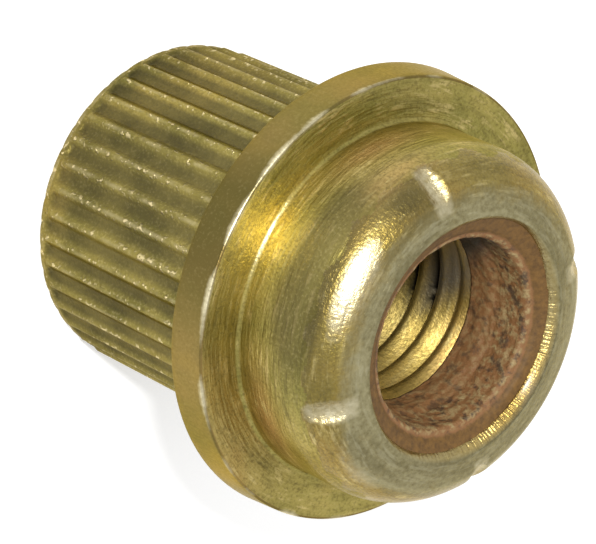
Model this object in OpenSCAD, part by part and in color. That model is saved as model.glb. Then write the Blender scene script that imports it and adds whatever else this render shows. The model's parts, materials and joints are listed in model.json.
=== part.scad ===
// Self-locking spline nut.
// A steel nut with a splined shank, a flange and a round nose. The rim of the nose is
// rolled in over a fibre locking ring and staked at four places to hold it.
// It stands on the end face of its shank, at the origin, with +Z along the thread axis
// towards the nose. All sizes are in millimetres.

/* [Thread] */
// Nominal diameter of the screw that the nut takes
thread_d = 6.35; // [5.8:0.05:6.6]
// Thread pitch, 28 turns to the inch
thread_pitch = 0.907; // [0.8:0.001:1.1]
// Height of the countersink at the thread's open end
countersink_height = 0.35; // [0.2:0.05:0.8]
// How far the countersink opens beyond the thread's outer radius
countersink_spread = 0.1; // [0.05:0.05:0.3]

/* [Splined shank] */
// Diameter over the crests of the spline
shank_d = 10.44; // [9.8:0.02:10.8]
// Length of the shank from its end face to the flange
shank_length = 8.7; // [5:0.1:16]
// Number of spline teeth
spline_count = 40; // [24:1:48]
// Depth of the grooves between the teeth
spline_depth = 0.2; // [0.14:0.01:0.3]
// Width of the flat on a tooth's crest
crest_width = 0.1; // [0.06:0.01:0.2]
// Width of the flat at the bottom of a groove
groove_floor = 0.3; // [0.1:0.01:0.35]
// Turn of the first tooth about the axis, in degrees from the first stake
spline_turn = 3.2; // [0:0.1:9]
// Height of the plain collar at the shank's open end
collar_height = 0.28; // [0.2:0.02:0.6]
// How far the collar lies below the crests of the spline
collar_inset = 0.08; // [0.04:0.01:0.12]
// Bevel that breaks the edge of the end face
end_bevel = 0.06; // [0.02:0.01:0.1]

/* [Flange] */
// Diameter of the flange at its front edge
flange_d = 13.8; // [12.6:0.1:16]
// Thickness of the flange
flange_thickness = 1.25; // [0.8:0.05:2]
// Growth in the rim's radius from its front edge to its back edge
rim_taper = 0.08; // [0:0.01:0.15]
// Bevel that breaks both edges of the rim
rim_bevel = 0.08; // [0.04:0.01:0.15]

/* [Nose] */
// Diameter of the nose
nose_d = 11; // [10.6:0.1:11.8]
// Height of the nose above the flange
nose_height = 3.7; // [3.3:0.05:5]
// Radius of the fillet where the nose meets the flange
nose_fillet = 0.14; // [0.05:0.01:0.3]
// Height over which the nose rounds in to its rolled rim
shoulder_height = 1.75; // [1.5:0.05:2.1]
// Angle at which the rounding gives way to the flatter band round the rim, in degrees
band_angle = 60; // [50:1:70]
// Diameter of the opening inside the rolled rim
lip_d = 6.94; // [6.6:0.02:7.4]
// Radius of the rolled rim's inner edge
lip_round = 0.3; // [0.2:0.01:0.3]

/* [Locking ring] */
// Outer diameter of the ring and of the recess that holds it
ring_d = 8.6; // [8.2:0.1:8.8]
// Thickness of the ring
ring_thickness = 2.4; // [1.8:0.05:2.6]
// Depth of the ring's front face below the top of the nose
ring_depth = 0.37; // [0.34:0.01:0.5]
// Diameter of the ring's bore at its back face
ring_bore_d = 5.5; // [5.45:0.05:5.7]
// Diameter of the ring's bore at its front face
ring_entry_d = 5.84; // [5.75:0.01:6.2]

/* [Stakes] */
// Number of stake marks round the shoulder
stake_count = 4; // [3:1:6]
// Depth of a stake mark at its middle
stake_depth = 0.16; // [0.08:0.01:0.22]
// Radius of the tool that pressed the stake marks
stake_r = 0.5; // [0.35:0.05:0.8]

/* [Hidden] */
$fn = 96;
over = 1;                                        // how far a cut runs past its solid

shank_r = shank_d / 2;
root_r = shank_r - spline_depth;
flange_r = flange_d / 2;
nose_r = nose_d / 2;
lip_r = lip_d / 2;
bore_r = (thread_d - thread_pitch) / 2;          // crests of the internal thread
sink_r = thread_d / 2 + countersink_spread;
ring_r = ring_d / 2;
flange_top = shank_length + flange_thickness;
nose_top = flange_top + nose_height;
ring_front = nose_top - ring_depth;
ring_back = ring_front - ring_thickness;
shoulder_x = lip_r + lip_round;                  // centre of the shoulder's rounding
shoulder_z = nose_top - shoulder_height;
shoulder_width = nose_r - shoulder_x;
lip_start_angle = 72;                            // where the rim's rounded edge takes over

// Points along an elliptic arc about (x, z) with half-widths rx and rz, from angle a to b
function arc(x, z, rx, rz, a, b, steps) =
    [for (i = [0:steps]) let (t = a + (b - a) * i / steps) [x + rx * cos(t), z + rz * sin(t)]];

// One spline tooth as four points of the shank's section, at a turn of t degrees
function tooth(t) =
    let (crest = asin(crest_width / 2 / shank_r),
         foot = 180 / spline_count - asin(groove_floor / 2 / root_r))
    [for (p = [[root_r, -foot], [shank_r, -crest], [shank_r, crest], [root_r, foot]])
        [p[0] * cos(t + p[1]), p[0] * sin(t + p[1])]];

// Straight splined shank, rooted in the flange, with a plain collar at its open end
module splined_shank() {
    root_z = shank_length + flange_thickness / 2;
    collar_r = shank_r - collar_inset;
    lead_slope = collar_inset / (collar_height / 2);   // bevel from the collar to the crests
    intersection() {
        linear_extrude(root_z)
            polygon([for (i = [0:spline_count - 1])
                each tooth(spline_turn + i * 360 / spline_count)]);
        cylinder(r1 = collar_r - collar_height * lead_slope,
            r2 = collar_r + (root_z - collar_height) * lead_slope, h = root_z);
    }
    rotate_extrude()
        polygon([[0, 0], [collar_r - end_bevel, 0], [collar_r, end_bevel],
            [collar_r, collar_height], [0, collar_height]]);
}

// Flange and nose in one turned outline, with the rim of the nose rolled in
module flange_and_nose() {
    back_r = flange_r + rim_taper;
    rotate_extrude()
        polygon(concat(
            [[0, shank_length], [back_r - rim_bevel, shank_length],
             [back_r, shank_length + rim_bevel], [flange_r, flange_top - rim_bevel],
             [flange_r - rim_bevel, flange_top]],
            arc(nose_r + nose_fillet, flange_top + nose_fillet, nose_fillet, nose_fillet,
                270, 180, 3),
            arc(shoulder_x, shoulder_z, shoulder_width, shoulder_height, 0, band_angle, 9),
            arc(shoulder_x, nose_top - lip_round, lip_round, lip_round, lip_start_angle, 180,
                6),
            [[lip_r, ring_front], [0, ring_front]]));
}

// Thread's bore, its countersink and the recess for the locking ring
module bore_and_recess() {
    sink_slope = (sink_r - bore_r) / countersink_height;
    translate([0, 0, -over]) cylinder(r = bore_r, h = ring_back + 2 * over);
    translate([0, 0, -over])
        cylinder(r1 = sink_r + over * sink_slope, r2 = bore_r, h = over + countersink_height);
    translate([0, 0, ring_back]) cylinder(r = ring_r, h = ring_thickness);
}

// Round-nosed tool that presses one stake mark across the middle of the shoulder
module stake_tool() {
    reach = shoulder_width * shoulder_height * sqrt(2) / norm([shoulder_width, shoulder_height]);
    translate([shoulder_x, 0, shoulder_z]) rotate([0, 45, 0])
        translate([0, 0, reach - stake_depth + stake_r]) rotate([0, 90, 0])
            cylinder(r = stake_r, h = 2 * shoulder_height, center = true);
}

// Steel nut, one piece
module nut_body() {
    color([0.60, 0.52, 0.25])
    difference() {
        union() {
            splined_shank();
            flange_and_nose();
        }
        bore_and_recess();
        for (i = [0:stake_count - 1])
            rotate([0, 0, i * 360 / stake_count]) stake_tool();
    }
}

// Vulcanised-fibre ring, held in the recess by the rolled rim
module locking_ring() {
    taper = (ring_entry_d - ring_bore_d) / 2 / ring_thickness;
    color([0.55, 0.36, 0.25])
    difference() {
        translate([0, 0, ring_back]) cylinder(r = ring_r, h = ring_thickness);
        translate([0, 0, ring_back - over])
            cylinder(r1 = ring_bore_d / 2 - over * taper, r2 = ring_entry_d / 2 + over * taper,
                h = ring_thickness + 2 * over);
    }
}

nut_body();
locking_ring();
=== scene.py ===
"""A self-locking spline nut, dressed for rendering.

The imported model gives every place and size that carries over: the steel body and the locking
ring are rebuilt here as finer surfaces inside the same boxes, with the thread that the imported
model leaves out. Lengths are in millimetres until a mesh is made, angles in degrees.
"""

import json

import bpy
import numpy as np
from mathutils import Matrix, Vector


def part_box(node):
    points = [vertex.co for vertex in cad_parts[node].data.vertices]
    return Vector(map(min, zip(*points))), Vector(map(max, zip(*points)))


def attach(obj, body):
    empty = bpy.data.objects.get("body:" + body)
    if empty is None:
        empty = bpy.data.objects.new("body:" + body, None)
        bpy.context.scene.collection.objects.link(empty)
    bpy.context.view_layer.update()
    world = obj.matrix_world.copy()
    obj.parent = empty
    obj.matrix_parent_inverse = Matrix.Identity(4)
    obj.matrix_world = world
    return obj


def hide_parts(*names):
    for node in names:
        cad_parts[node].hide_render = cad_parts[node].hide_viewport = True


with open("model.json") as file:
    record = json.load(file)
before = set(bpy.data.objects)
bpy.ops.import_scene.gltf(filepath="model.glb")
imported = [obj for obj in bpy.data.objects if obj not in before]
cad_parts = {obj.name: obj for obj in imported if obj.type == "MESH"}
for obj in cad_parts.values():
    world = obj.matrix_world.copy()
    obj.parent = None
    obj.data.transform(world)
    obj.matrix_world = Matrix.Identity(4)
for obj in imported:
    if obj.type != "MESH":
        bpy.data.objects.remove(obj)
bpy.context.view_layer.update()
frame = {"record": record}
mounts = {mount["name"]: mount for mount in frame["record"]["mounts"]}
bpy.context.scene.view_settings.view_transform = "Standard"
MM = 0.001


# ---------------------------------------------------------------------------------- camera
# A long lens looks down at the nose from 44 degrees above the floor. The camera is rolled on
# its side, so that the thread's axis points to the right of the frame and a little down.

CAMERA_AZIMUTH = 134.97
CAMERA_ELEVATION = 43.84
CAMERA_ROLL = 115.17
CAMERA_DISTANCE = 102.67
CAMERA_LENS = 205.7
CAMERA_TARGET = (-0.35, -0.04, 6.58)


def direction(azimuth, elevation):
    """The unit vector at an azimuth from +X and an elevation above the floor, in degrees."""
    a, e = np.radians((azimuth, elevation))
    return np.array([np.cos(e) * np.cos(a), np.cos(e) * np.sin(a), np.sin(e)])


def aim(thing, target, azimuth, elevation, distance, roll=0.0):
    """Put a camera or lamp a distance from its target, with its own -Z axis towards it.

    Its natural up is the part of the world's +Z square to the line of sight. The roll turns
    that up about the line of sight.
    """
    back = direction(azimuth, elevation)
    level = np.array([0.0, 0.0, 1.0]) - back[2] * back
    level /= np.linalg.norm(level)
    side = np.cross(level, back)
    turn = np.radians(roll)
    up = np.cos(turn) * level - np.sin(turn) * side
    place = np.eye(4)
    place[:3, 0] = np.cross(up, back)
    place[:3, 1] = up
    place[:3, 2] = back
    place[:3, 3] = (np.array(target) + distance * back) * MM
    thing.matrix_world = Matrix(place.tolist())


camera_data = bpy.data.cameras.new("camera")
camera_data.lens = CAMERA_LENS
camera_data.sensor_width = 36.0
camera_data.clip_start = 0.01
camera_data.clip_end = 10.0
camera = bpy.data.objects.new("camera", camera_data)
bpy.context.scene.collection.objects.link(camera)
aim(camera, CAMERA_TARGET, CAMERA_AZIMUTH, CAMERA_ELEVATION, CAMERA_DISTANCE, CAMERA_ROLL)
bpy.context.scene.camera = camera


# -------------------------------------------------------------------------------- nut body
# One turned steel body: a shank with 40 rolled spline teeth, a flange and a round nose. The
# rim of the nose was rolled over the locking ring in a press and staked at four places. It is
# zinc plated and yellow chromated, and tapped right through from the shank's end.

body_low, body_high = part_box("nut_body")
ring_low, ring_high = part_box("locking_ring")

SHANK_LENGTH = mounts["flange_bearing_face"]["pos_m"][2] / MM
NOSE_TOP = body_high.z / MM
FLANGE_BACK_R = -body_low.x / MM
THREAD_CREST_R = mounts["thread"]["dims"]["r_mm"]
RING_R = (ring_high.x - ring_low.x) / 2 / MM
RING_BACK = ring_low.z / MM
RING_FRONT = ring_high.z / MM

THREAD_PITCH = 0.907
THREAD_ROOT_R = 3.2
THREAD_START = 0.428         # height of the lowest root at azimuth 0
CREST_SHARE = 0.14           # a crest's height above the root below it, as a share of a pitch
SINK_R = 3.275               # the countersink at the thread's open end
SINK_HEIGHT = 0.35
SHANK_R = 5.22
SPLINE_COUNT = 40
SPLINE_DEPTH = 0.2
SPLINE_TURN = 3.2            # azimuth of the first tooth's crest
CREST_WIDTH = 0.1            # the flat on a tooth
GROOVE_FLOOR = 0.3           # the flat between two teeth
COLLAR_R = 5.14
COLLAR_HEIGHT = 0.28
LEAD_START = COLLAR_HEIGHT - 0.04     # where the teeth begin to rise from the collar
LEAD_HEIGHT = 0.2
LEAD_ROWS = 0.24             # height of the closely set rows that carry the lead
SCALLOP_DEPTH = 0.025        # how far each groove runs on into the collar
SCALLOP_WIDTH = 1.2          # degrees
END_BEVEL = 0.06
FLANGE_R = 6.9
FLANGE_TOP = SHANK_LENGTH + 1.25
RIM_BEVEL = 0.08
NOSE_R = 5.5
NOSE_FILLET = 0.14
SHOULDER_HEIGHT = 1.75
BAND_ANGLE = 60              # where the shoulder's ellipse ends and the flatter band begins
LIP_R = 3.47
LIP_ROUND = 0.3
LIP_START_ANGLE = 72         # where the band ends and the lip's rounding begins
BURR_AZIMUTH = 297           # the side where the press flattened the lip's rounding
SHOULDER_X = LIP_R + LIP_ROUND
SHOULDER_Z = NOSE_TOP - SHOULDER_HEIGHT
STAKE_COUNT = 4
STAKE_DEPTH = 0.16
STAKE_R = 0.5

# Columns lie closer together on a tooth's crest and at the feet of its flanks.
TOOTH_COLUMNS = np.array([-0.5, -0.36, -0.27, -0.16, -0.06, 0.0, 0.06, 0.16, 0.27, 0.36])
TOOTH_ANGLE = 360 / SPLINE_COUNT


def column_angles():
    """Azimuth of each column of the mesh, in degrees: every tooth repeats the same spacing."""
    teeth = np.arange(SPLINE_COUNT)[:, None]
    return ((teeth + TOOTH_COLUMNS) * TOOTH_ANGLE + SPLINE_TURN).ravel()


def straight(start, end, steps):
    """Points from start towards end in equal steps, without the end itself."""
    share = np.arange(steps)[:, None] / steps
    return np.array(start) * (1 - share) + np.array(end) * share


def bend(x, z, half_x, half_z, start, end, steps):
    """Points on an ellipse about (x, z), from the start angle towards the end angle."""
    t = np.radians(start + (end - start) * np.arange(steps) / steps)
    return np.column_stack([x + half_x * np.cos(t), z + half_z * np.sin(t)])


def soft_clamp(x, softness):
    """x held between 0 and 1, with corners rounded by replacing |x| with sqrt(x^2 + s^2)."""
    rise = np.sqrt(x**2 + softness**2) - np.sqrt((x - 1) ** 2 + softness**2)
    return np.clip((rise + 1) / 2, 0, 1)


def waves(u, v, count, reach, seed):
    """Smooth unevenness between about -1 and 1: a sum of sines of u and v.

    Each sine has its own seeded direction, wave number up to reach, and phase.
    """
    draw = np.random.default_rng(seed)
    total = np.zeros(np.broadcast(u, v).shape)
    for _ in range(count):
        across, along = draw.uniform(-reach, reach, 2)
        total += np.sin(across * u + along * v + draw.uniform(0, 2 * np.pi))
    return total / np.sqrt(count)


def bell(value, middle, width):
    """A bell that is 1 at the middle and falls to about a third one width away."""
    return np.exp(-((value - middle) / width) ** 2)


def off_turn(azimuth, middle, spacing=360.0):
    """Signed degrees from the nearest of the azimuths middle, middle + spacing, ..."""
    return (azimuth - middle + spacing / 2) % spacing - spacing / 2


def near(azimuth, middle, width):
    """A bell round the axis: 1 at one azimuth, and about a third at a width in degrees away."""
    return bell(off_turn(azimuth, middle), 0, width)


def tooth_radius(azimuth):
    """Radius of the spline's section: root plus depth times a flat-topped ramp.

    The ramp falls from 1 at the edge of the crest's flat to 0 at the edge of the groove's
    floor, measured along the arc from the nearest crest.
    """
    arc = np.radians(TOOTH_ANGLE) * SHANK_R
    away = np.abs(np.radians(off_turn(azimuth, SPLINE_TURN, TOOTH_ANGLE))) * SHANK_R
    foot = (arc - GROOVE_FLOOR) / 2
    ramp = (foot - away) / (foot - CREST_WIDTH / 2)
    return SHANK_R - SPLINE_DEPTH + SPLINE_DEPTH * soft_clamp(ramp, 0.3)


def outer_stations():
    """The body's section from the thread's open end, round the outside, to the recess floor.

    Returns the points as radius and height, and the row where each stretch begins.
    """
    band_t = np.radians(BAND_ANGLE)
    band_start = (SHOULDER_X + (NOSE_R - SHOULDER_X) * np.cos(band_t),
                  SHOULDER_Z + SHOULDER_HEIGHT * np.sin(band_t))
    lip_t = np.radians(LIP_START_ANGLE)
    lip_start = (SHOULDER_X + LIP_ROUND * np.cos(lip_t),
                 NOSE_TOP - LIP_ROUND + LIP_ROUND * np.sin(lip_t))
    stretches = {
        "end_face": straight((SINK_R, 0), (COLLAR_R - END_BEVEL, 0), 4),
        "collar": np.vstack([
            straight((COLLAR_R - END_BEVEL, 0), (COLLAR_R, END_BEVEL), 2),
            straight((COLLAR_R, END_BEVEL), (COLLAR_R, LEAD_START), 4)]),
        "shank": np.vstack([
            straight((SHANK_R, LEAD_START), (SHANK_R, LEAD_START + LEAD_ROWS), 7),
            straight((SHANK_R, LEAD_START + LEAD_ROWS), (SHANK_R, SHANK_LENGTH), 14)]),
        "flange_back": straight((SHANK_R, SHANK_LENGTH),
                                (FLANGE_BACK_R - RIM_BEVEL, SHANK_LENGTH), 3),
        "rim": np.vstack([
            bend(FLANGE_BACK_R - RIM_BEVEL, SHANK_LENGTH + RIM_BEVEL,
                 RIM_BEVEL, RIM_BEVEL, -90, 0, 3),
            straight((FLANGE_BACK_R, SHANK_LENGTH + RIM_BEVEL),
                     (FLANGE_R, FLANGE_TOP - RIM_BEVEL), 5),
            bend(FLANGE_R - RIM_BEVEL, FLANGE_TOP - RIM_BEVEL,
                 RIM_BEVEL, RIM_BEVEL, 0, 90, 3)]),
        "flange_face": straight((FLANGE_R - RIM_BEVEL, FLANGE_TOP),
                                (NOSE_R + NOSE_FILLET, FLANGE_TOP), 7),
        "barrel": np.vstack([
            bend(NOSE_R + NOSE_FILLET, FLANGE_TOP + NOSE_FILLET,
                 NOSE_FILLET, NOSE_FILLET, 270, 180, 4),
            straight((NOSE_R, FLANGE_TOP + NOSE_FILLET), (NOSE_R, SHOULDER_Z), 7)]),
        "shoulder": bend(SHOULDER_X, SHOULDER_Z, NOSE_R - SHOULDER_X, SHOULDER_HEIGHT,
                         0, BAND_ANGLE, 22),
        "band": straight(band_start, lip_start, 7),
        "lip": np.vstack([
            bend(SHOULDER_X, NOSE_TOP - LIP_ROUND, LIP_ROUND, LIP_ROUND,
                 LIP_START_ANGLE, 180, 12),
            straight((LIP_R, NOSE_TOP - LIP_ROUND), (LIP_R, RING_FRONT), 2)]),
        "recess": np.vstack([
            straight((LIP_R, RING_FRONT), (RING_R, RING_FRONT), 2),
            straight((RING_R, RING_FRONT), (RING_R, RING_BACK), 2),
            straight((RING_R, RING_BACK), (THREAD_ROOT_R, RING_BACK), 2)]),
    }
    starts = {}
    row = 0
    for name, points in stretches.items():
        starts[name] = row
        row += len(points)
    return np.vstack(list(stretches.values())), starts


def stake_dent(radius, height, azimuth):
    """Depth of the stake marks at points of the shoulder, in millimetres.

    A round-nosed punch lies across the shoulder at 45 degrees. Where the shoulder stands
    above the punch's underside, the difference is the depth.
    """
    half = np.array([NOSE_R - SHOULDER_X, SHOULDER_HEIGHT])
    crown = half[0] * half[1] * np.sqrt(2) / np.hypot(*half)
    lift = ((radius - SHOULDER_X) + (height - SHOULDER_Z)) / np.sqrt(2)
    off = np.radians(off_turn(azimuth, 0, 360 / STAKE_COUNT))
    across = np.clip(radius * off, -STAKE_R, STAKE_R)
    underside = crown - STAKE_DEPTH + STAKE_R - np.sqrt(STAKE_R**2 - across**2)
    return np.clip(lift - underside, 0, None)


def lip_reach(azimuth):
    """How far the rolled lip's inner edge stands back from its true circle, in millimetres."""
    uneven = waves(np.radians(azimuth) * 5, 0 * azimuth, 12, 1.0, 3)
    return 0.17 * near(azimuth, 38, 26) + 0.19 * near(azimuth, 145, 78) + 0.02 * uneven


def outer_surface(stations, starts, azimuth):
    """Radius and height over the whole grid of stations and columns.

    Past the collar the shank takes the spline's section, whose teeth rise from the collar
    over a short lead. The flange's back face starts at the spline. The shoulder is pushed
    in along 45 degrees by the stakes. The lip's inner edge is a little out of round, and on
    one side its rounding is flattened towards a chamfer.
    """
    radius = np.repeat(stations[:, :1], len(azimuth), axis=1)
    height = np.repeat(stations[:, 1:], len(azimuth), axis=1)
    tooth = tooth_radius(azimuth)[None, :]
    shank = slice(starts["shank"], starts["flange_back"])
    lead = np.clip((height[shank] - LEAD_START) / LEAD_HEIGHT, 0, 1)
    radius[shank] = COLLAR_R + (tooth - COLLAR_R) * lead * lead * (3 - 2 * lead)
    collar = slice(starts["collar"], starts["shank"])
    off_groove = off_turn(azimuth, SPLINE_TURN + TOOTH_ANGLE / 2, TOOTH_ANGLE)
    radius[collar] -= SCALLOP_DEPTH * bell(off_groove, 0, SCALLOP_WIDTH)
    back = slice(starts["flange_back"], starts["rim"])
    rim_edge = FLANGE_BACK_R - RIM_BEVEL
    share = (radius[back] - SHANK_R) / (rim_edge - SHANK_R)
    radius[back] = tooth + (rim_edge - tooth) * share
    nose = slice(starts["shoulder"], starts["recess"])
    dent = stake_dent(radius[nose], height[nose], azimuth[None, :])
    radius[nose] -= dent / np.sqrt(2)
    height[nose] -= dent / np.sqrt(2)
    lip = slice(starts["lip"], starts["recess"])
    inner = np.clip((SHOULDER_X - radius[lip]) / LIP_ROUND, 0, 1)
    burr = (0.4 + 0.45 * near(azimuth, BURR_AZIMUTH, 34))[None, :]
    height[lip] += burr * (NOSE_TOP - LIP_ROUND * inner - height[lip]) * (inner > 0)
    radius[lip] += lip_reach(azimuth)[None, :] * inner
    return radius, height


# Phases of the thread's rows within one pitch, from the root up: the crest is the fourth.
THREAD_PHASES = np.array([0.0, 0.02, 0.06, 0.14, 0.3, 0.5, 0.7, 0.88])


def groove_radius(share):
    """Radius of the thread at a share of its pitch, measured up from a root.

    It is the root's radius less the depth times the sine of half a turn, with the share
    raised to the power that puts the sine's top at the crest: crests are round, roots sharp.
    """
    power = np.log(0.5) / np.log(CREST_SHARE)
    return THREAD_ROOT_R - (THREAD_ROOT_R - THREAD_CREST_R) * np.sin(np.pi * share**power)


def thread_surface(azimuth):
    """Radius and height of the tapped hole, on rows that climb one pitch a turn.

    Row j starts at the height of its phase and rises with the azimuth, so crests and roots
    run along rows. Heights are held between the end face and the recess floor. The radius
    is the groove's, or the countersink's where that is wider.
    """
    pitches = int(np.ceil(RING_BACK / THREAD_PITCH)) + 3
    phase = (np.arange(pitches)[:, None] + THREAD_PHASES[None, :]).ravel()
    start = THREAD_START - 2 * THREAD_PITCH
    turns = np.append(azimuth, azimuth[0] + 360) / 360
    height = np.clip(start + THREAD_PITCH * (phase[:, None] + turns), 0, RING_BACK)
    share = ((height - THREAD_START) / THREAD_PITCH - turns) % 1
    cone = SINK_R - (SINK_R - THREAD_CREST_R) * height / SINK_HEIGHT
    return np.maximum(groove_radius(share), cone), height


def cell_halves(grid):
    """Two triangles for each cell of a grid of numbers, as rows of three."""
    a, b = grid[:-1, :-1].ravel(), grid[:-1, 1:].ravel()
    c, d = grid[1:, 1:].ravel(), grid[1:, :-1].ravel()
    return np.vstack([np.column_stack([a, b, c]), np.column_stack([a, c, d])])


def around(radius, height, azimuth):
    """Points in space from radius and height grids whose columns lie at the azimuths."""
    turn = np.radians(azimuth)[None, :]
    return np.column_stack([(radius * np.cos(turn)).ravel(), (radius * np.sin(turn)).ravel(),
                            height.ravel()])


def body_mesh(stations, starts):
    """One closed mesh: the outer grid and the thread's grid share their two end circles.

    Cells of the thread whose corners fall on one point of an end circle collapse and are
    left out. Also returns each point's row on the outside, with the thread's points one row
    further, and each face's row.
    """
    azimuth = column_angles()
    count = len(azimuth)
    radius, height = outer_surface(stations, starts, azimuth)
    top_share = ((RING_BACK - THREAD_START) / THREAD_PITCH - azimuth / 360) % 1
    radius = np.vstack([radius, groove_radius(top_share)[None, :]])
    height = np.vstack([height, np.full((1, count), RING_BACK)])
    edge = len(stations)
    t_radius, t_height = thread_surface(azimuth)
    t_rows = len(t_height)
    points = np.vstack([around(radius, height, azimuth),
                        around(t_radius[:, :-1], t_height[:, :-1], azimuth)])

    columns = np.arange(count + 1) % count
    outer_ids = np.arange(edge + 1)[:, None] * count + columns
    base = (edge + 1) * count
    t_ids = base + np.arange(t_rows)[:, None] * count + columns
    # One turn on, a row meets the row one pitch higher.
    t_ids[:, -1] = base + np.minimum(np.arange(t_rows) + len(THREAD_PHASES),
                                     t_rows - 1) * count
    t_ids = np.where(t_height <= 0, columns, t_ids)
    t_ids = np.where(t_height >= RING_BACK, edge * count + columns, t_ids)

    faces = np.vstack([cell_halves(outer_ids), cell_halves(t_ids)[:, ::-1]])
    rows = np.repeat(np.arange(edge)[:, None], count, axis=1).ravel()
    face_row = np.concatenate([rows, rows, np.full(2 * (t_rows - 1) * count, edge)])
    keep = ((faces[:, 0] != faces[:, 1]) & (faces[:, 1] != faces[:, 2])
            & (faces[:, 2] != faces[:, 0]))
    faces, face_row = faces[keep], face_row[keep]
    used = np.zeros(len(points), bool)
    used[faces.ravel()] = True
    point_row = np.append(np.repeat(np.arange(edge + 1), count),
                          np.full(len(points) - base, edge + 1))
    return points[used], (np.cumsum(used) - 1)[faces], point_row[used], face_row


def mesh_object(name, points, faces):
    """A smooth-shaded mesh object from arrays of millimetre points and triangles."""
    mesh = bpy.data.meshes.new(name)
    mesh.from_pydata((points * MM).tolist(), [], faces.tolist())
    mesh.polygons.foreach_set("use_smooth", np.ones(len(faces), bool))
    mesh.update()
    made = bpy.data.objects.new(name, mesh)
    bpy.context.scene.collection.objects.link(made)
    return made


def paint(thing, name, values):
    """Store one number a vertex under a name that a material reads back."""
    layer = thing.data.attributes.new(name, "FLOAT", "POINT")
    layer.data.foreach_set("value", np.asarray(values, np.float32))


stations, starts = outer_stations()
points, faces, point_row, face_row = body_mesh(stations, starts)
nut = mesh_object("plated_nut", points, faces)

radius = np.hypot(points[:, 0], points[:, 1])
height = points[:, 2]
azimuth = np.degrees(np.arctan2(points[:, 1], points[:, 0])) % 360
turn = np.radians(azimuth)
in_thread = point_row > len(stations)


def on_rows(first, after):
    """Which points lie on the section from one stretch up to the start of another."""
    return (point_row >= starts[first]) & (point_row < starts[after])


def patch(middle_height, tall, middle_azimuth, wide):
    """A soft patch of the surface: the product of a bell up the axis and one round it."""
    return bell(height, middle_height, tall) * near(azimuth, middle_azimuth, wide)


OUTSIDE_R = 3.4              # further in are only the recess and the thread
STREAK_LEAN = 16             # degrees round for each millimetre up
STREAK_HEIGHT = 10.3


def off_shadow_streak(azimuth, height):
    """Degrees round from the painted shadow streak in the bore, which leans as it climbs."""
    return off_turn(azimuth, 0) - STREAK_LEAN * (height - STREAK_HEIGHT)


# The distance along the section, in millimetres, sets the lathe's rings apart.
run = np.append(0, np.cumsum(np.hypot(*np.diff(stations, axis=0).T)))
run = np.append(run, [run[-1], run[-1]])
paint(nut, "run", np.where(in_thread, run[-1] + RING_BACK - height, run[point_row]))

# Painted shade darkens the grooves between the teeth, on two sides most, and the turned flats.
turned_flat = on_rows("end_face", "collar") | on_rows("flange_back", "rim")
side_shade = 0.6 + 0.4 * near(azimuth, 98, 15) + 0.4 * near(azimuth, 200, 26)
in_groove = np.clip((SHANK_R - radius) / SPLINE_DEPTH, 0, 1)
paint(nut, "groove", 0.38 * turned_flat + on_rows("shank", "flange_back") * side_shade * in_groove)

# The press rolled the shoulder's upper part, and reached lower down on two sides.
on_shoulder = on_rows("shoulder", "recess")
rolled_from = 13.17 - 0.38 * near(azimuth, 290, 75) - 0.15 * near(azimuth, 205, 22)
paint(nut, "rolled", on_shoulder * np.clip((height - rolled_from) / 0.42, 0, 1))

# Rubbing bared the flange's front edge and the stake marks. The front edge is painted brighter
# on the lamp's side, and the barrel's foot and two patches on the shoulder's crown are painted
# highlights.
edge_wear_and_highlight = bell(np.hypot(radius - FLANGE_R + 0.02, height - FLANGE_TOP + 0.02), 0, 0.085)
edge_wear_and_highlight *= point_row < starts["barrel"]
edge_wear_and_highlight *= np.clip(0.4 + 0.6 * near(azimuth, 132, 40)
                     + 0.45 * waves(turn * 30, 0 * turn, 16, 1.0, 14), 0, 1)
patchy = np.clip(0.8 + 0.6 * waves(turn * 9, height * 2, 16, 1.0, 33), 0, 1.2)
foot = bell(np.hypot(radius - NOSE_R - 0.05, height - FLANGE_TOP - 0.05), 0, 0.09)
crown = on_shoulder * (1.4 * patch(13.2, 0.28, 131, 29) + 1.1 * patch(13.2, 0.28, 205, 20))
painted_highlight = patchy * (0.9 * foot * near(azimuth, 128, 30) + crown)
across = np.radians(off_turn(azimuth, 0, 360 / STAKE_COUNT)) * radius
lean = np.degrees(np.arctan2(height - SHOULDER_Z, radius - SHOULDER_X))
stake_wear = 0.75 * on_shoulder * np.clip((STAKE_R - np.abs(across)) / 0.32, 0, 1)
stake_wear *= np.clip((lean - 12) / 18, 0, 0.85) * np.clip((82 - lean) / 8, 0, 1)
paint(nut, "wear_and_highlight", np.clip(edge_wear_and_highlight + stake_wear + 0.6 * painted_highlight, 0, 1))

# The lip's inner edge wrinkled as it was rolled, most on one side.
on_edge = on_rows("lip", "recess") * np.clip((SHOULDER_X - radius) / 0.12, 0, 1)
paint(nut, "beaded", on_edge * (0.25 + 0.75 * near(azimuth, 300, 32)))

# Painted shade and painted dark reflections darken the film in patches round the nose, the rim
# and the shank, and further down the thread.
below = bell(height, 11.95, 0.95) * (height > FLANGE_TOP + 0.3) + (
    (height < FLANGE_TOP - 0.02) * np.where(radius < 6, 0.5, 1.0))
painted_shade = below * (1.15 * near(azimuth, 135, 26) + 0.7 * near(azimuth, 245, 30)
                + 0.7 * near(azimuth, 345, 28))
painted_shade += (height < SHANK_LENGTH) * (0.8 * near(azimuth, 68, 24) + 0.75 * near(azimuth, 202, 28))
painted_shade += 0.3 * patch(FLANGE_TOP, 0.2, 75, 22)
painted_shade += 0.36 * patch(11.55, 0.75, 112, 11) + 0.26 * patch(11.55, 0.75, 150, 12)
painted_shade += 0.36 * bell(height, 12.15, 0.85)
painted_shade += 0.7 * patch(12.3, 0.5, 146, 22) + 0.2 * patch(12.7, 0.4, 62, 22)
painted_shade += 0.9 * patch(13.1, 0.42, 101, 10) + 0.3 * patch(13.1, 0.42, 60, 28)
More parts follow.
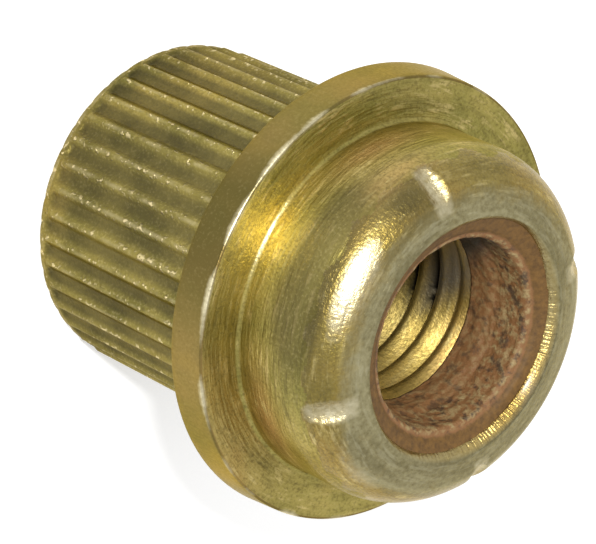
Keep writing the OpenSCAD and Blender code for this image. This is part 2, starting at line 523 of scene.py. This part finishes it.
painted_shade += 0.4 * patch(NOSE_TOP, 0.12, 136, 24) + 0.6 * patch(NOSE_TOP, 0.12, 243, 20)
painted_shade *= radius > OUTSIDE_R
painted_thread_shade = 0.3 * near(azimuth, 170, 50) + 0.5 * np.clip((9.1 - height) / 0.5, 0, 1)
paint(nut, "painted_shade", np.clip(np.where(in_thread, painted_thread_shade, painted_shade), 0, 1))

# It is thin, and turns to tan, over the barrel's foot, the flange's face and the shoulder.
thin = near(azimuth, 90, 17) + near(azimuth, 192, 20) + 0.6 * near(azimuth, 310, 30)
thin *= bell(height, 10.75, 0.6) * (height > FLANGE_TOP + 0.05)
thin += 0.4 * near(azimuth, 192, 30) * (height == FLANGE_TOP)
thin += 0.8 * patch(12.2, 0.5, 98, 14)
paint(nut, "thin", thin)

# Painted shadow: a grey streak over the upper turns, where the bore's edge hides the lamp, and
# black in the roots below it.
off_shadow = off_shadow_streak(azimuth, height) + 3 * waves(turn, height, 6, 5, 21)
paint(nut, "streak_shadow", in_thread * np.clip((off_shadow + 26) / 18, 0, 1)
      * np.clip((62 - off_shadow) / 20, 0, 1) * np.clip((height - 8.7) / 0.4, 0, 1))
root = np.clip((radius - THREAD_CREST_R) / (THREAD_ROOT_R - THREAD_CREST_R) * 4 - 0.9, 0, 1)
in_shade = np.clip(1.5 * near(azimuth, 345, 26), 0, 1)
paint(nut, "root_shadow", in_thread * root * in_shade * np.clip((10.1 - height) / 0.2, 0, 1))


def shade(code):
    """Linear colour of an sRGB hex code, with an alpha of 1."""
    parts = [int(code[i:i + 2], 16) / 255 for i in (1, 3, 5)]
    return [p / 12.92 if p <= 0.04045 else ((p + 0.055) / 1.055) ** 2.4 for p in parts] + [1]


def node(tree, kind, inputs=(), **settings):
    """Add one node. Inputs map a socket's name or number to a value or to an output."""
    made = tree.nodes.new("ShaderNode" + kind)
    for name, value in settings.items():
        setattr(made, name, value)
    for name, value in dict(inputs).items():
        if isinstance(value, bpy.types.NodeSocket):
            tree.links.new(value, made.inputs[name])
        else:
            made.inputs[name].default_value = value
    return made


def empty_material(name):
    """A material with nothing in it but its output node."""
    made = bpy.data.materials.new(name)
    made.use_nodes = True
    made.node_tree.nodes.clear()
    return made, made.node_tree, made.node_tree.nodes.new("ShaderNodeOutputMaterial")


def colour_mix(tree, share, first, second):
    """The first colour, turned into the second by a share from 0 to 1.

    A colour mix has its factor in socket 0 and its two colours in sockets 6 and 7.
    """
    return node(tree, "Mix", {0: share, 6: first, 7: second}, data_type="RGBA").outputs[2]


def maths(tree, operation, first, second):
    """One step of arithmetic between two numbers."""
    return node(tree, "Math", {0: first, 1: second}, operation=operation).outputs[0]


def times(tree, first, second):
    """The product of two numbers."""
    return maths(tree, "MULTIPLY", first, second)


def plus(tree, first, second):
    """The sum of two numbers."""
    return maths(tree, "ADD", first, second)


def ramp(tree, value, low, high, most=1.0):
    """A number between two bounds, as a share from 0 to the most."""
    return node(tree, "MapRange", {"Value": value, "From Min": low, "From Max": high,
                                   "To Max": most}).outputs[0]


def painted(tree, name):
    """The number that was painted on the mesh under a name."""
    return node(tree, "Attribute", attribute_name=name).outputs["Fac"]


def yellow_chromate(name, olive, gold, roughness, anisotropy=0.0, lathe=0.0, grain=0.0,
                    drawn=0.0, beads=0.0, blotches=1.0, lacquer=0.2):
    """Yellow chromate over zinc on steel: a clear golden film on a satin metal.

    The film is cloudy, from olive to gold, with painted shade in patches, and tan where it is
    thin.
    Lathe rings, grain, drawing scratches and beads are heights in millimetres: the marks that
    turning, drawing and rolling left in the steel. Shade is painted in the grooves and, as a grey
    streak and black roots, in the thread; handling wore edges to pale zinc, and painted
    highlights and glints take the same pale colour. Blotches scale the fine mottling,
    and lacquer is the weight of the film's own clear surface.
    """
    material, tree, out = empty_material(name)
    place = node(tree, "TexCoord").outputs["Object"]
    wear_and_highlight, groove, beaded, painted_shade = (
        painted(tree, kind) for kind in ("wear_and_highlight", "groove", "beaded", "painted_shade"))

    def noise(scale, detail, vector=place, roughness=0.55):
        return node(tree, "TexNoise", {"Vector": vector, "Scale": scale, "Detail": detail,
                                       "Roughness": roughness}).outputs["Fac"]

    def stretched(scales):
        """Object coordinates scaled by a different number along each axis."""
        return node(tree, "VectorMath", {0: place, 1: scales}, operation="MULTIPLY").outputs[0]

    def lines(along, across):
        """Noise drawn out along the lathe's rings, with the section's run as a fourth axis."""
        return node(tree, "TexNoise", {
            "Vector": stretched((across, across, across)),
            "W": times(tree, painted(tree, "run"), along),
            "Scale": 1.0, "Detail": 2.0, "Roughness": 0.55},
            noise_dimensions="4D").outputs["Fac"]

    def share(value, low, high, most=1.0):
        """The same ramp, in this material's own tree."""
        return ramp(tree, value, low, high, most)

    def over(under, amount, code):
        """A colour with another laid over it by a share."""
        return colour_mix(tree, amount, under, shade(code))

    clouds = noise(420.0, 4.0)
    film = colour_mix(tree, share(clouds, 0.36, 0.64), shade(olive), shade(gold))
    film = over(film, share(noise(230.0, 3.0), 0.52, 0.66, 0.6), "#a98d43")
    film = over(film, times(tree, painted(tree, "thin"), 0.8), "#d2a76b")
    if lathe:
        broad, wide, fine = lines(2.3, 300.0), lines(7.0, 1300.0), lines(11.0, 420.0)
        patches = noise(800.0, 3.0)
        # Pale strokes along the rings are painted glints, and the shadows beside them painted
        # shade.
        painted_glints = times(tree, share(wide, 0.54, 0.65), share(patches, 0.42, 0.58, 0.75))
        shadows = times(tree, share(wide, 0.47, 0.34), share(patches, 0.58, 0.4, 0.4))
        film = over(film, share(broad, 0.48, 0.34, 0.32), "#6c612f")
        film = over(film, share(broad, 0.52, 0.66, 0.3), "#cfba6c")
        film = over(film, painted_glints, "#e2cd86")
        film = over(film, shadows, "#5f5429")
        film = over(film, share(fine, 0.45, 0.3, 0.08), "#6e6434")
    # Painted shade and dark reflections darken the film in patches.
    film = over(film, times(tree, painted_shade, 0.78), "#463f1c")
    mottle = noise(11000.0, 2.0)
    film = over(film, share(mottle, 0.5, 0.3, 0.42 * blotches), "#5c5028")
    film = over(film, share(mottle, 0.55, 0.72, 0.12 * blotches), "#d9c68f")
    # Painted shade in the grooves, darkest at their floors.
    groove_shade_colour = colour_mix(tree, share(clouds, 0.4, 0.6), shade("#38321a"), shade("#5b532d"))
    film = colour_mix(tree, share(groove, 0.24, 0.66, 0.76), film, groove_shade_colour)

    # The rolled edge was stretched until its film broke up, and shows silver green.
    broken = noise(1.0, 4.0, stretched((6500.0, 6500.0, 14000.0)))
    silver = colour_mix(tree, share(broken, 0.3, 0.7), shade("#857b52"), shade("#aca379"))
    # The same painted shade darkens the silver.
    silver = over(silver, times(tree, painted_shade, 0.5), "#5f5636")
    if lathe:
        silver = over(silver, share(broad, 0.48, 0.36, 0.4), "#655d36")
        silver = over(silver, share(broad, 0.53, 0.64, 0.35), "#bcb48c")
        silver = over(silver, share(wide, 0.54, 0.66, 0.3), "#c6bf9b")
    ragged = plus(tree, painted(tree, "rolled"), times(tree, noise(2400.0, 4.0), 0.6))
    film = colour_mix(tree, share(ragged, 0.8, 1.25), film, silver)
    film = over(film, beaded, "#c4a555")

    # Dark specks lie everywhere; in the thread, painted shadow lies as a grey streak and black
    # roots.
    film = over(film, share(noise(9000.0, 3.0), 0.65, 0.76, 0.35), "#453e29")
    streak_shadow_share = times(tree, painted(tree, "streak_shadow"), share(noise(5000.0, 4.0), 0.1, 0.4))
    film = over(film, streak_shadow_share, "#978f7a")
    root_shadow_share = times(tree, painted(tree, "root_shadow"), share(noise(2800.0, 2.0), 0.1, 0.45))
    film = over(film, root_shadow_share, "#15130e")

    # Where an edge or a tooth's crest was rubbed, the pale zinc comes through in spots; the same
    # pale colour paints the highlights on the barrel's foot and the shoulder's crown.
    wear_and_highlight_spots = times(tree, wear_and_highlight, plus(tree, noise(5200.0, 3.0), 0.35))
    film = over(film, share(wear_and_highlight_spots, 0.25, 0.9), "#e0d6b2")
    height = times(tree, noise(9000.0, 3.0), 0.003 + grain)
    if beads:
        # Painted highlight lightens the crests and draws a pale line along each; the pale spots
        # on them are partly rubbed zinc and partly painted glints.
        crest_highlight = times(tree, share(groove, 0.6, 0.15), share(clouds, 0.38, 0.6, 0.34))
        film = over(film, crest_highlight, "#a3974e")
        crest_edge_highlight = times(tree, share(groove, 0.17, 0.04), share(noise(1500.0, 3.0), 0.42, 0.62, 0.36))
        film = over(film, crest_edge_highlight, "#b9ad86")
        rub = noise(6200.0, 1.0, roughness=0.4)
        crest_wear_and_glints = times(tree, share(groove, 0.3, 0.06), share(rub, 0.6, 0.68))
        film = over(film, times(tree, crest_wear_and_glints, 0.6), "#eedcaa")
        height = plus(tree, height, times(tree, crest_wear_and_glints, beads))
    if lathe:
        height = plus(tree, height, times(tree, wide, 1.1 * lathe))
        height = plus(tree, height, times(tree, fine, 0.5 * lathe))
    if drawn:
        scratches = noise(1.0, 2.0, stretched((9000.0, 9000.0, 900.0)))
        height = plus(tree, height, times(tree, scratches, drawn))

    # The lip's inner edge is wrinkled along the spokes of the circle.
    flat = stretched((1.0, 1.0, 0.0))
    spoke = node(tree, "VectorMath", {0: flat}, operation="NORMALIZE").outputs[0]
    wrinkle = plus(tree, noise(34.0, 1.0, spoke), times(tree, noise(4600.0, 2.0), 0.8))
    height = plus(tree, height, times(tree, times(tree, wrinkle, 0.14), beaded))
    bump = node(tree, "Bump", {"Height": height, "Strength": 1.0, "Distance": MM})
    circle = node(tree, "Tangent", direction_type="RADIAL", axis="Z")
    gloss = node(tree, "MapRange", {"Value": mottle, "From Min": 0.3, "From Max": 0.7,
                                    "To Min": roughness + 0.06, "To Max": roughness - 0.06})
    metal = node(tree, "BsdfPrincipled", {
        "Base Color": film, "Metallic": 1.0, "Roughness": gloss.outputs[0],
        "Anisotropic": anisotropy, "Anisotropic Rotation": 0.25,
        "Tangent": circle.outputs["Tangent"], "Normal": bump.outputs["Normal"],
        "Specular Tint": shade("#e6d6a8"),
        "Coat Weight": lacquer, "Coat Roughness": 0.25, "Coat IOR": 1.55})
    tree.links.new(metal.outputs["BSDF"], out.inputs["Surface"])
    return material


# The shank's teeth were rolled: the roller's own marks are beads along each crest.
nut.data.materials.append(yellow_chromate(
    "rolled_spline_chromate", "#726b2f", "#87783b", 0.4, grain=0.016, drawn=0.01,
    beads=0.03, blotches=1.7))
# The rim is the drawn bar's own skin, with faint scratches along the axis.
nut.data.materials.append(yellow_chromate(
    "drawn_rim_chromate", "#7a6d3a", "#8b7643", 0.38, drawn=0.012, blotches=0.45,
    lacquer=0.08))
# The flange's face, the barrel and the lower shoulder were turned.
nut.data.materials.append(yellow_chromate(
    "turned_chromate", "#a1984d", "#c1b062", 0.38, anisotropy=0.7, lathe=0.03, grain=0.01))
# The upper shoulder was rolled over in the press, which left the turning half erased.
nut.data.materials.append(yellow_chromate(
    "pressed_shoulder_chromate", "#928038", "#ad9148", 0.37, lathe=0.02, grain=0.024,
    lacquer=0.5))
# The thread was cut by the tap. Its film is set lighter than the rest: painted light in the bore.
nut.data.materials.append(yellow_chromate(
    "tapped_thread_chromate", "#d6b95e", "#e2c777", 0.48, lathe=0.003, grain=0.01,
    lacquer=0.1))

# The pressed finish begins a few rows up the shoulder, along an uneven line.
PRESSED_ROW = starts["shoulder"] + 8
finish = np.searchsorted([starts["rim"], starts["flange_face"]], face_row, side="right")
uneven_row = face_row + 1.5 * waves(turn[faces[:, 0]] * 40, 0 * face_row, 16, 1.0, 9)
finish += (uneven_row > PRESSED_ROW).astype(int) + (face_row == len(stations))
nut.data.polygons.foreach_set("material_index", finish.astype(np.int32))
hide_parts("nut_body")
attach(nut, "root")


# ----------------------------------------------------------------------------- locking ring
# A washer of red-brown vulcanised fibre, laid in its recess before the rim was rolled over.
# Its bore was left rough by the cutter, and the screw presses its own thread into it.

RING_BORE_R = 2.75
RING_ENTRY_R = 2.9
RING_STEP_Z = 12.0
RING_DISH = 0.16
RING_TUCK = 0.07             # how far the fibre was squeezed up under the lip
RING_BULGE = 0.16            # how high it swells there
RING_BULGE_WIDTH = 0.27
RING_ROUND = 0.18
RING_TAPER = 0.04            # how much the entry narrows before the step
RING_STEP_HEIGHT = 0.35
RING_TEAR = 0.02             # depth of the torn fibres, for each unit of unevenness
RING_LIP_GAP = 0.01
RING_SWELL_LOSS = 0.1        # how much lower the swell is under the flattened lip
RING_COLUMNS = 320


def ring_mesh():
    """A closed band: the ring's section carried round the axis, with a torn bore.

    The front face dips towards the bore and swells along the lip, whose uneven edge the
    swell follows. The bore's radius is the taper's, plus unevenness that only takes material
    away.
    """
    entry_z = RING_FRONT - RING_DISH - RING_ROUND
    round_x = RING_ENTRY_R + RING_ROUND
    bulge_x = LIP_R + RING_TUCK
    foot_x = bulge_x - RING_BULGE_WIDTH
    step_top = (RING_ENTRY_R - RING_TAPER, RING_STEP_Z)
    step_foot = (RING_BORE_R, RING_STEP_Z - RING_STEP_HEIGHT)
    section = np.vstack([
        straight((RING_R, RING_BACK), (RING_R, RING_FRONT), 2),
        straight((RING_R, RING_FRONT), (bulge_x, RING_FRONT), 2),
        straight((bulge_x, RING_FRONT), (bulge_x, RING_FRONT + RING_BULGE), 1),
        straight((bulge_x, RING_FRONT + RING_BULGE), (foot_x, RING_FRONT), 4),
        straight((foot_x, RING_FRONT), (round_x, RING_FRONT - RING_DISH), 6),
        bend(round_x, entry_z, RING_ROUND, RING_ROUND, 90, 180, 6),
        straight((RING_ENTRY_R, entry_z), step_top, 16),
        straight(step_top, step_foot, 6),
        straight(step_foot, (RING_BORE_R, RING_BACK), 12),
        straight((RING_BORE_R, RING_BACK), (RING_R, RING_BACK), 3)])
    degrees = np.arange(RING_COLUMNS) * 360 / RING_COLUMNS
    turn = np.radians(degrees)[None, :]
    radius = np.repeat(section[:, :1], RING_COLUMNS, axis=1)
    height = np.repeat(section[:, 1:], RING_COLUMNS, axis=1)
    bore = (section[:, :1] < round_x) & (section[:, 1:] < RING_FRONT)
    rough = 0.6 * waves(turn * 16, height * 12, 40, 1.0, 5)
    rough += 0.6 * waves(turn * 60, height * 34, 40, 1.0, 8)
    radius += bore * RING_TEAR * np.clip(rough + 0.6, 0, 2.4)
    near_lip = bell(section[:, :1], LIP_R, 0.2) * (section[:, 1:] >= RING_FRONT)
    radius += near_lip * (lip_reach(degrees)[None, :] - RING_LIP_GAP)
    swell = np.clip(section[:, 1:] - RING_FRONT, 0, RING_BULGE) / RING_BULGE
    height -= swell * RING_SWELL_LOSS * near(degrees, BURR_AZIMUTH, 32)[None, :]
    ids = (np.arange(len(section) + 1)[:, None] % len(section)) * RING_COLUMNS + (
        np.arange(RING_COLUMNS + 1)[None, :] % RING_COLUMNS)
    return around(radius, height, degrees), cell_halves(ids)


def vulcanised_fibre():
    """Vulcanised fibre, a hard red-brown board of pressed cotton paper.

    It is dull and slightly waxy, and mottled with tan where the cutter tore its layers.
    Oil and swarf left dark specks in the bore.
    """
    material, tree, out = empty_material("vulcanised_fibre")
    place = node(tree, "TexCoord").outputs["Object"]
    torn = painted(tree, "torn")

    def noise(scale, detail, roughness=0.6):
        return node(tree, "TexNoise", {"Vector": place, "Scale": scale, "Detail": detail,
                                       "Roughness": roughness}).outputs["Fac"]

    mottle = noise(4600.0, 5.0)
    grain = ramp(tree, noise(5000.0, 5.0, 0.7), 0.34, 0.66)
    plain = colour_mix(tree, grain, shade("#543b19"), shade("#735325"))
    tan = times(tree, ramp(tree, mottle, 0.45, 0.63), ramp(tree, torn, 0.5, 1.0))
    rough = colour_mix(tree, tan, shade("#805a35"), shade("#9a855b"))
    border = ramp(tree, plus(tree, torn, times(tree, mottle, 0.9)), 0.6, 0.95)
    face = colour_mix(tree, border, plain, rough)
    # The painted shadow streak from the thread runs on up the bore.
    streak_shadow_share = times(tree, painted(tree, "streak_shadow"), 0.95)
    face = colour_mix(tree, streak_shadow_share, face, shade("#33322e"))
    specks = times(tree, ramp(tree, noise(2900.0, 5.0), 0.52, 0.63, 0.85), torn)
    face = colour_mix(tree, specks, face, shade("#3f3024"))
    height = times(tree, mottle, plus(tree, times(tree, torn, 0.05), 0.025))
    bump = node(tree, "Bump", {"Height": height, "Strength": 1.0, "Distance": MM})
    board = node(tree, "BsdfPrincipled", {
        "Base Color": face, "Roughness": 0.6, "IOR": 1.42,
        "Normal": bump.outputs["Normal"]})
    tree.links.new(board.outputs["BSDF"], out.inputs["Surface"])
    return material


ring_points, ring_faces = ring_mesh()
ring = mesh_object("fibre_ring", ring_points, ring_faces)
ring_radius = np.hypot(ring_points[:, 0], ring_points[:, 1])
ring_height = ring_points[:, 2]
ring_azimuth = np.degrees(np.arctan2(ring_points[:, 1], ring_points[:, 0]))
# The cutter tore the bore, most of all above the step, and the painted shadow streak
# runs on up it.
paint(ring, "torn", np.clip((RING_ENTRY_R + 0.28 - ring_radius) / 0.16, 0, 1)
      * (0.75 + 0.25 * (ring_height > RING_STEP_Z)))
paint(ring, "streak_shadow", bell(off_shadow_streak(ring_azimuth, ring_height), 10, 16)
      * (ring_radius < RING_ENTRY_R + 0.02))
ring.data.materials.append(vulcanised_fibre())
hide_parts("locking_ring")
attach(ring, "root")


# ------------------------------------------------------------------------- floor and lights
# A wide pale floor, an even surround, and a small key lamp just beside the camera, which
# draws the highlights on the nose and the barrel.

FLOOR_R = 1500.0
FLOOR_SIDES = 64
FLOOR_GAP = 0.01             # a hair of air, so that the shank's end isn't in the floor's plane
FLOOR_LIFT = 0.32            # the glow that brings the paper up to plain white
SURROUND = 0.82              # the even light from all round
KEY_AZIMUTH = 124.9
KEY_ELEVATION = 45.0
KEY_DISTANCE = 140.0
KEY_SIZE = 12.0
KEY_POWER = 0.15


def pale_floor():
    """Matt white paper, lifted a little to plain white for the eye and in reflections.

    Its back is clear, so that the nut can be seen from below.
    """
    material, tree, out = empty_material("pale_paper")
    paths = node(tree, "LightPath")
    seen = maths(tree, "MAXIMUM", paths.outputs["Is Camera Ray"],
                 paths.outputs["Is Glossy Ray"])
    seen = maths(tree, "MAXIMUM", seen, paths.outputs["Is Transmission Ray"])
    glow = times(tree, seen, FLOOR_LIFT)
    lift = node(tree, "Emission", {"Color": (1, 1, 1, 1), "Strength": glow})
    paper = node(tree, "BsdfDiffuse", {"Color": shade("#f4f4f4")})
    both = node(tree, "AddShader", {0: paper.outputs[0], 1: lift.outputs[0]})
    from_below = node(tree, "NewGeometry").outputs["Backfacing"]
    clear = node(tree, "BsdfTransparent", {"Color": (1, 1, 1, 1)})
    sheet = node(tree, "MixShader", {0: from_below, 1: both.outputs[0], 2: clear.outputs[0]})
    tree.links.new(sheet.outputs[0], out.inputs["Surface"])
    return material


corner = np.radians(np.arange(FLOOR_SIDES) * 360 / FLOOR_SIDES)
corners = MM * np.column_stack([FLOOR_R * np.cos(corner), FLOOR_R * np.sin(corner),
                                np.full(FLOOR_SIDES, -FLOOR_GAP)])
floor_mesh = bpy.data.meshes.new("floor")
floor_mesh.from_pydata(corners.tolist(), [], [list(range(FLOOR_SIDES))])
floor_mesh.materials.append(pale_floor())
floor = bpy.data.objects.new("floor", floor_mesh)
bpy.context.scene.collection.objects.link(floor)

world = bpy.data.worlds.new("surround")
bpy.context.scene.world = world
world.use_nodes = True
tree = world.node_tree
tree.nodes.clear()
around_light = node(tree, "Background", {"Color": (1, 1, 1, 1), "Strength": SURROUND})
node(tree, "OutputWorld", {"Surface": around_light.outputs[0]})

key_data = bpy.data.lights.new("key_lamp", "AREA")
key_data.shape = "DISK"
key_data.size = KEY_SIZE * MM
key_data.energy = KEY_POWER
key = bpy.data.objects.new("key_lamp", key_data)
bpy.context.scene.collection.objects.link(key)
aim(key, (0, 0, NOSE_TOP / 2), KEY_AZIMUTH, KEY_ELEVATION, KEY_DISTANCE)
